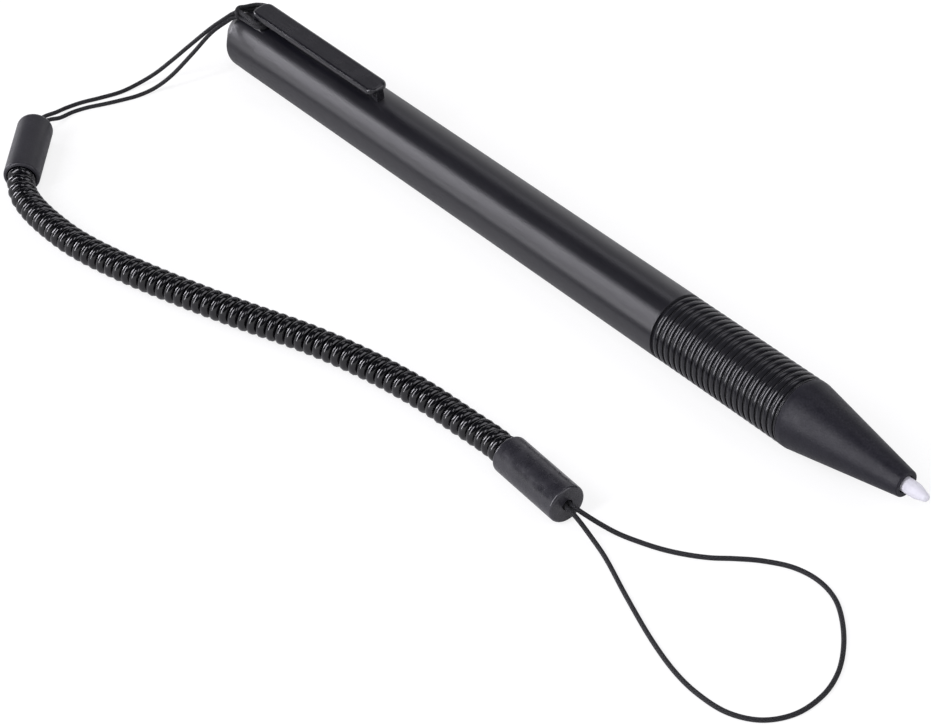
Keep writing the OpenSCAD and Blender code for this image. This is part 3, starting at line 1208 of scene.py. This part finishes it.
REAR_STRAND = [
    (-70.2, -33.4, 2.5), (-71.7, -32, 2.45), (-72.6, -31, 2.2), (-73.5, -29.2, 1.6),
    (-74.1, -27.2, 0.8), (-74.5, -25.2, 0.3), (-73.9, -23, 0.3), (-72.8, -20.5, 0.3),
    (-71.8, -17.8, 0.3), (-71.3, -15.2, 0.5), (-70.1, -12.7, 1.6), (-68.5, -10.5, 3.5),
    (-66.7, -8, 5.8), (-64.9, -5.2, 8.1), (-63.5, -2.6, 9.6)]
FRONT_STRAND = [
    (-69.8, -32.9, 2.5), (-71.3, -31.6, 2.45), (-72, -30.6, 2.15), (-72.4, -29, 1.5),
    (-72.7, -27.3, 0.7), (-73, -25.2, 0.3), (-72.3, -23.1, 0.3), (-71.1, -20.8, 0.3),
    (-70.1, -18.7, 0.3), (-69.2, -16.4, 0.3), (-68.3, -14, 0.8), (-66.95, -11.7, 2.45),
    (-65.5, -8.7, 5.2), (-64.4, -5.6, 7.75), (-63.15, -2.75, 9.25)]
HITCH = [
    (-63.5, -2.6, 9.6), (-62.98, -1.95, 9.95), (-62.5, -1.8, 10.2), (-61.4, -1.85, 10.27),
    (-60.1, -1.9, 10.3), (-58.8, -1.95, 10.27), (-58.05, -1.5, 10.1), (-58, 0, 9.9),
    (-58.05, 1.5, 9.95), (-59, 2.05, 9.95), (-61, 1.9, 9.9), (-62.3, 1.3, 9.8), (-62.8, 0.5, 9.85),
    (-63, -0.5, 10.05), (-63, -1.3, 10.37), (-62.7, -1.95, 10.4), (-62.35, -2.3, 10.15),
    (-62.1, -2.35, 9.75), (-62.2, -2.2, 9.35), (-62.5, -1.95, 9.15), (-62.9, -1.5, 9.15),
    (-63.2, -1.25, 9.4), (-63.35, -1.15, 9.65), (-63.3, -0.75, 9.45), (-63.1, -0.2, 9.35),
    (-62.8, 0.7, 9.25), (-62, 1.6, 9.25), (-60.6, 2.15, 9.3), (-58.5, 2.2, 9.35),
    (-57.7, 1.5, 9.45), (-57.65, 0, 9.5), (-57.75, -1.4, 9.65), (-58.6, -1.98, 9.72),
    (-59.9, -2.05, 9.72), (-61.2, -2.1, 9.7), (-62.2, -2.15, 9.6), (-62.65, -2.3, 9.45),
    (-63.15, -2.75, 9.25)]
COIL = [
    (-66.1, -36.9, 2.5), (-63.2, -39.6, 2.5), (-60.3, -41.2, 2.2), (-56.5, -41.9, 1.95),
    (-51.5, -42.1, 1.95), (-46, -41.8, 1.95), (-39, -40.5, 1.95), (-30, -38.2, 1.95),
    (-20, -35.2, 1.95), (-9, -31.6, 1.95), (0, -29.4, 1.95), (9, -28, 1.95),
    (17.5, -27.4, 1.95), (21.6, -27.3, 2.2), (24.8, -27.5, 2.5), (28.8, -27.7, 2.5)]
DEVICE_LOOP = [
    (34.3, -27.8, 2.5), (36.3, -27.9, 2.5), (38, -27.6, 2.1), (40.2, -26.6, 0.9),
    (42.4, -25.8, 0.3), (45, -25, 0.3), (47.8, -23.9, 0.3), (50.4, -22.5, 0.3),
    (52.7, -20.9, 0.3), (54.8, -19, 0.3), (57.2, -17.1, 0.3), (60.3, -15.4, 0.3),
    (63.6, -14.8, 0.3), (66.9, -15.4, 0.3), (69.9, -17.2, 0.3), (72.8, -19.9, 0.3),
    (75, -23, 0.3), (76.1, -26.4, 0.3), (75.9, -30.2, 0.3), (74, -33.4, 0.3),
    (70.7, -35.3, 0.3), (66.6, -35.8, 0.3), (62.3, -35.4, 0.3), (56.9, -34, 0.3),
    (50.3, -31.7, 0.3), (44.5, -29.5, 0.3), (41.1, -28.7, 0.8), (38.3, -28.5, 2),
    (36.3, -28.5, 2.5), (34.3, -28.4, 2.5)]


@dataclass
class Tether:
    """The coiled tether: two thin cords, a hitch, two sleeves and the coiled cord.

    Attributes:
        cord_d: Diameter of the thin cord.
        cord_step: Distance between the points along it.
        hitch_step: The same in the hitch.
        wire_d: Diameter of the coiled cord itself.
        coil_r: Radius of the middle of the coil's turns.
        pitch: Distance from turn to turn.
        turn_points: Points in each turn.
        lead_in: Length over which the coil's ends draw in to their crimps.
        lead_share: Share of the coil's radius that is left at its very ends.
        hand: Which way the coil turns.
        sleeve_r: Radius of the sleeves.
        sleeve_length: Length of the sleeves.
        mouth_r: Radius of a sleeve's mouth round the coil.
        mouth_depth: Depth of that mouth.
        seat_r: Radius of the seat for the crimp.
        mouth_round: Rounding of the sleeve's edge there.
        strand_r: Radius of the hole for the two strands.
        strand_round: Rounding of that hole's edge.
        end_wall: Thickness of the wall at the cord end.
        pen_sleeve: Place of the sleeve at the pen's end.
        device_sleeve: Place of the sleeve at the device's end.
    """

    cord_d: float = 0.6 * MM
    cord_step: float = 0.3 * MM
    hitch_step: float = 0.12 * MM
    wire_d: float = 1.42 * MM
    coil_r: float = 1.24 * MM
    pitch: float = 1.465 * MM
    turn_points: int = 20
    lead_in: float = 2.0 * MM
    lead_share: float = 0.25
    hand: Hand = Hand.LEFT
    sleeve_r: float = 2.5 * MM
    sleeve_length: float = 11.5 * MM
    mouth_r: float = 2.05 * MM
    mouth_depth: float = 4.0 * MM
    seat_r: float = 1.2 * MM
    mouth_round: float = 0.4 * MM
    strand_r: float = 0.675 * MM
    strand_round: float = 0.12 * MM
    end_wall: float = 2.0 * MM
    pen_sleeve: SleevePlace = field(default_factory=lambda: SleevePlace(
        "pen_end_sleeve", "pen_sleeve", (-71.5, -31.8, 2.5), -43.2, 0.9 * MM))
    device_sleeve: SleevePlace = field(default_factory=lambda: SleevePlace(
        "device_end_sleeve", "device_sleeve", (36.5, -28.2, 2.5), 176.5, 0.35 * MM))

    def build(self, wardrobe: Wardrobe) -> None:
        """Builds the tether from the pen outwards, its cords as tubes, and dresses its pieces."""
        hitch = tube("root_hitch", smooth_line(mm_points(HITCH), self.hitch_step), self.cord_d)
        dress(hitch, Body.PEN, wardrobe.cord, ["cord_hitch"])
        sleeves = [self.sleeve(self.pen_sleeve, wardrobe.smooth_sleeve),
                   self.sleeve(self.device_sleeve, wardrobe.sleeve)]
        crimps = [redress(name, wardrobe.crimp) for name in ("pen_crimp", "device_crimp")]
        for name, stands_for, route in (("rear_strand", "pen_cord_rear", REAR_STRAND),
                                        ("front_strand", "pen_cord_front", FRONT_STRAND)):
            line = smooth_line(mm_points(route[::-1]), self.cord_step)
            self.declared(name, stands_for, line, wardrobe.cord, Slot.CORD, self.cord_d)
        self.declared("coiled_cord", "coil_cord", self.helix(), wardrobe.coil, Slot.COIL,
                      self.wire_d)
        loop = smooth_line(mm_points(DEVICE_LOOP), self.cord_step)
        self.declared("device_loop", "device_cord", loop, wardrobe.cord, Slot.CORD, self.cord_d)

    def declared(self, name: str, stands_for: str, line: Sequence[Vector],
                 material: bpy.types.Material, slot: Slot, diameter: float) -> None:
        """Args:
            name: Name of the piece.
            stands_for: CAD node that it replaces.
            line: Points along its middle, from where it leaves the pen's side.
            material: Its material.
            slot: Its slot in the record, read only to give the coil's tube more sides.
            diameter: Its diameter.
        """
        cord = tube(name, line, diameter, rings=4 if slot is Slot.COIL else 3)
        dress(cord, Body.PEN, material, [stands_for])

    def sleeve(self, place: SleevePlace, material: bpy.types.Material) -> bpy.types.Object:
        """Turns a sleeve with its stepped bore and dresses it.

        Args:
            place: Where it lies.
            material: Its material.

        Returns:
            The sleeve.
        """
        mouth = self.sleeve_length - self.mouth_depth
        sleeve = turned(place.name, [
            Corner(0.0, self.strand_r, self.strand_round, 3),
            Corner(0.0, self.sleeve_r, place.rounding, 8),
            Corner(self.sleeve_length, self.sleeve_r, self.mouth_round, 6),
            Corner(self.sleeve_length, self.mouth_r), Corner(mouth, self.mouth_r),
            Corner(mouth, self.seat_r), Corner(self.end_wall, self.seat_r),
            Corner(self.end_wall, self.strand_r)], place.matrix(), steps=96)
        return dress(sleeve, Body.PEN, material, [place.stands_for])

    def helix(self) -> list[Vector]:
        """Winds the coil round its route, with frames carried along so that it doesn't twist.

        Returns:
            Points along the middle of the coiled cord.
        """
        step = self.pitch / self.turn_points
        route = smooth_line(mm_points(COIL), step)
        total = line_length(route)
        turns = round(total / self.pitch)
        side = UP.cross(route[1] - route[0]).normalized()
        points = []
        for i, middle in enumerate(route):
            along = (route[min(i + 1, len(route) - 1)] - route[max(i - 1, 0)]).normalized()
            side = (side - along * side.dot(along)).normalized()
            share = i / (len(route) - 1)
            angle = self.hand.value * math.tau * turns * share
            draw = min(share, 1 - share) * total / self.lead_in
            radius = self.coil_r * min(1.0, self.lead_share + (1 - self.lead_share) * draw)
            points.append(middle + radius * (math.cos(angle) * side
                                             + math.sin(angle) * along.cross(side)))
        return points


# ---------------------------------------------------------------- studio


@dataclass(frozen=True)
class Panel:
    """A soft lamp panel.

    Attributes:
        name: Name of the lamp.
        azimuth: Direction of the panel from the pen, in degrees from +X towards +Y.
        elevation: Its height above the horizon, in degrees.
        size: Its width and height, at a metre from the pen.
        radiance: Brightness of its face, where 1 is white.
    """

    name: str
    azimuth: float
    elevation: float
    size: tuple[float, float]
    radiance: float

    def build(self) -> None:
        """Makes the lamp, which faces the pen and stands upright."""
        data = bpy.data.lights.new(self.name, "AREA")
        data.shape = "RECTANGLE"
        data.size, data.size_y = self.size
        data.energy = self.radiance * math.pi * self.size[0] * self.size[1]
        data.color = LAMP_COLOUR
        lamp = link(bpy.data.objects.new(self.name, data))
        a, e = math.radians(self.azimuth), math.radians(self.elevation)
        back = Vector((math.cos(a) * math.cos(e), math.sin(a) * math.cos(e), math.sin(e)))
        right = Vector((-math.sin(a), math.cos(a), 0.0))
        lamp.matrix_world = Matrix.Translation(back) @ facing(right, back)


@dataclass(frozen=True)
class Studio:
    """The camera, the lamps, the floor and the world.

    Attributes:
        azimuth: Direction that the camera stands in, in degrees.
        elevation: Its height above the horizon, in degrees.
        roll: Its turn about its own axis, in degrees.
        distance: Its distance from the point that it looks at.
        aim: That point.
        lens: Focal length in millimetres.
        panels: The soft lamps.
        overhead: Brightness of the world overhead.
        horizon: Height over the horizon, as a sine, where the world starts to dim.
        dimmed: The same where it is as dim as overhead.
        fill: Brightness of the world as diffuse light.
        floor_tone: Reflectance of the floor as diffuse light meets it.
        floor_shade: Reflectance of the floor as the camera sees it.
        floor_glow: Brightness that is added to it there.
        gloss_shade: Reflectance of the floor as glossy faces see it.
        gloss_glow: Brightness that is added to it there.
        floor_half: Half the width of the floor.
    """

    azimuth: float = 55.688
    elevation: float = 42.172
    roll: float = -7.828
    distance: float = 0.34
    aim: Point = (14.16 * MM, -24.41 * MM, 7.99 * MM)
    lens: float = 109.85
    panels: tuple[Panel, ...] = (
        Panel("rear_strip", 200.0, 12.5, (0.16, 0.46), 16.5),
        Panel("front_strip", 260.0, 33.0, (0.16, 1.12), 16.5),
        Panel("far_panel", 130.0, 23.5, (1.3, 0.48), 0.55),
        Panel("high_panel", 118.0, 61.0, (0.46, 0.3), 1.8),
        Panel("right_panel", 30.0, 34.0, (0.8, 0.5), 2.4),
        Panel("near_strip", 337.0, 57.0, (0.14, 0.5), 5.5))
    overhead: float = 0.03
    horizon: float = 0.16
    dimmed: float = 0.3
    fill: float = 0.3
    floor_tone: float = 0.8
    floor_shade: float = 0.25
    floor_glow: float = 0.78
    gloss_shade: float = 0.62
    gloss_glow: float = 0.08
    floor_half: float = 4.0

    def build(self) -> None:
        """Builds the studio."""
        self.camera()
        for panel in self.panels:
            panel.build()
        self.world()
        self.floor()
        bpy.context.scene.view_settings.view_transform = "Standard"

    def camera(self) -> None:
        """Makes the camera."""
        a, e, r = (math.radians(v) for v in (self.azimuth, self.elevation, self.roll))
        back = Vector((math.sin(a) * math.cos(e), -math.cos(a) * math.cos(e), math.sin(e)))
        level = Vector((math.cos(a), math.sin(a), 0.0))
        right = level * math.cos(r) + back.cross(level) * math.sin(r)
        data = bpy.data.cameras.new("camera")
        data.lens, data.sensor_width = self.lens, 36.0
        data.clip_start, data.clip_end = 0.01, 20.0
        camera = link(bpy.data.objects.new("camera", data))
        stand = Vector(self.aim) + back * self.distance
        camera.matrix_world = Matrix.Translation(stand) @ facing(right, back)
        bpy.context.scene.camera = camera

    @staticmethod
    def seen(tree: Tree) -> Socket:
        """Socket that is 1 for rays from the camera, off gloss and through glass."""
        path = node(tree, "LightPath").outputs
        either = calc(tree, "MAXIMUM", path["Is Camera Ray"], path["Is Glossy Ray"])
        return calc(tree, "MAXIMUM", either, path["Is Transmission Ray"])

    def world(self) -> None:
        """Makes the world: white to the eye near the horizon, dim overhead."""
        world = bpy.data.worlds.new("studio")
        bpy.context.scene.world = world
        world.use_nodes = True
        tree = world.node_tree
        tree.nodes.clear()
        way = node(tree, "TexCoord").outputs["Generated"]
        height = node(tree, "SeparateXYZ", {0: way}).outputs[2]
        fade = node(tree, "MapRange", {0: height, 1: self.horizon, 2: self.dimmed, 3: 1.0,
                                       4: self.overhead},
                    interpolation_type="SMOOTHSTEP").outputs[0]
        level = number_mix(tree, self.seen(tree), self.fill, fade)
        sky = node(tree, "Background", {"Color": WHITE, "Strength": level})
        tree.links.new(sky.outputs[0], node(tree, "OutputWorld").inputs[0])

    def floor(self) -> None:
        """Makes the white floor: bright to the camera, and as lit to glossy faces near it."""
        bm = bmesh.new()
        bmesh.ops.create_grid(bm, x_segments=1, y_segments=1, size=self.floor_half)
        floor = finished("floor", bm)
        material = bpy.data.materials.new("floor_white")
        material.use_nodes = True
        tree = material.node_tree
        tree.nodes.clear()
        bounce = node(tree, "BsdfDiffuse", {"Color": rgba((self.floor_tone,) * 3)}).outputs[0]
        glossy = node(tree, "LightPath").outputs["Is Glossy Ray"]
        shade_level = number_mix(tree, glossy, self.floor_shade, self.gloss_shade)
        glow_level = number_mix(tree, glossy, self.floor_glow, self.gloss_glow)
        shade = node(tree, "BsdfDiffuse", {"Color": shade_level}).outputs[0]
        glow = node(tree, "Emission", {"Color": WHITE, "Strength": glow_level}).outputs[0]
        white = node(tree, "AddShader", {0: shade, 1: glow}).outputs[0]
        mixed = node(tree, "MixShader", {0: self.seen(tree), 1: bounce, 2: white}).outputs[0]
        tree.links.new(mixed, node(tree, "OutputMaterial").inputs[0])
        floor.data.materials.append(material)


# ---------------------------------------------------------------- main


def main() -> None:
    """Builds the studio, the tether and the pen in order."""
    logging.basicConfig(level=logging.INFO, format="%(message)s")
    Studio().build()
    wardrobe = Wardrobe.built(Effects())
    Tether().build(wardrobe)
    line = PenLine.from_frame()
    Barrel(line).build(wardrobe)
    PocketClip().build(wardrobe)
    Grip(line).build(wardrobe)
    Nose(line).build(wardrobe)


if __name__ == "__main__":
    main()
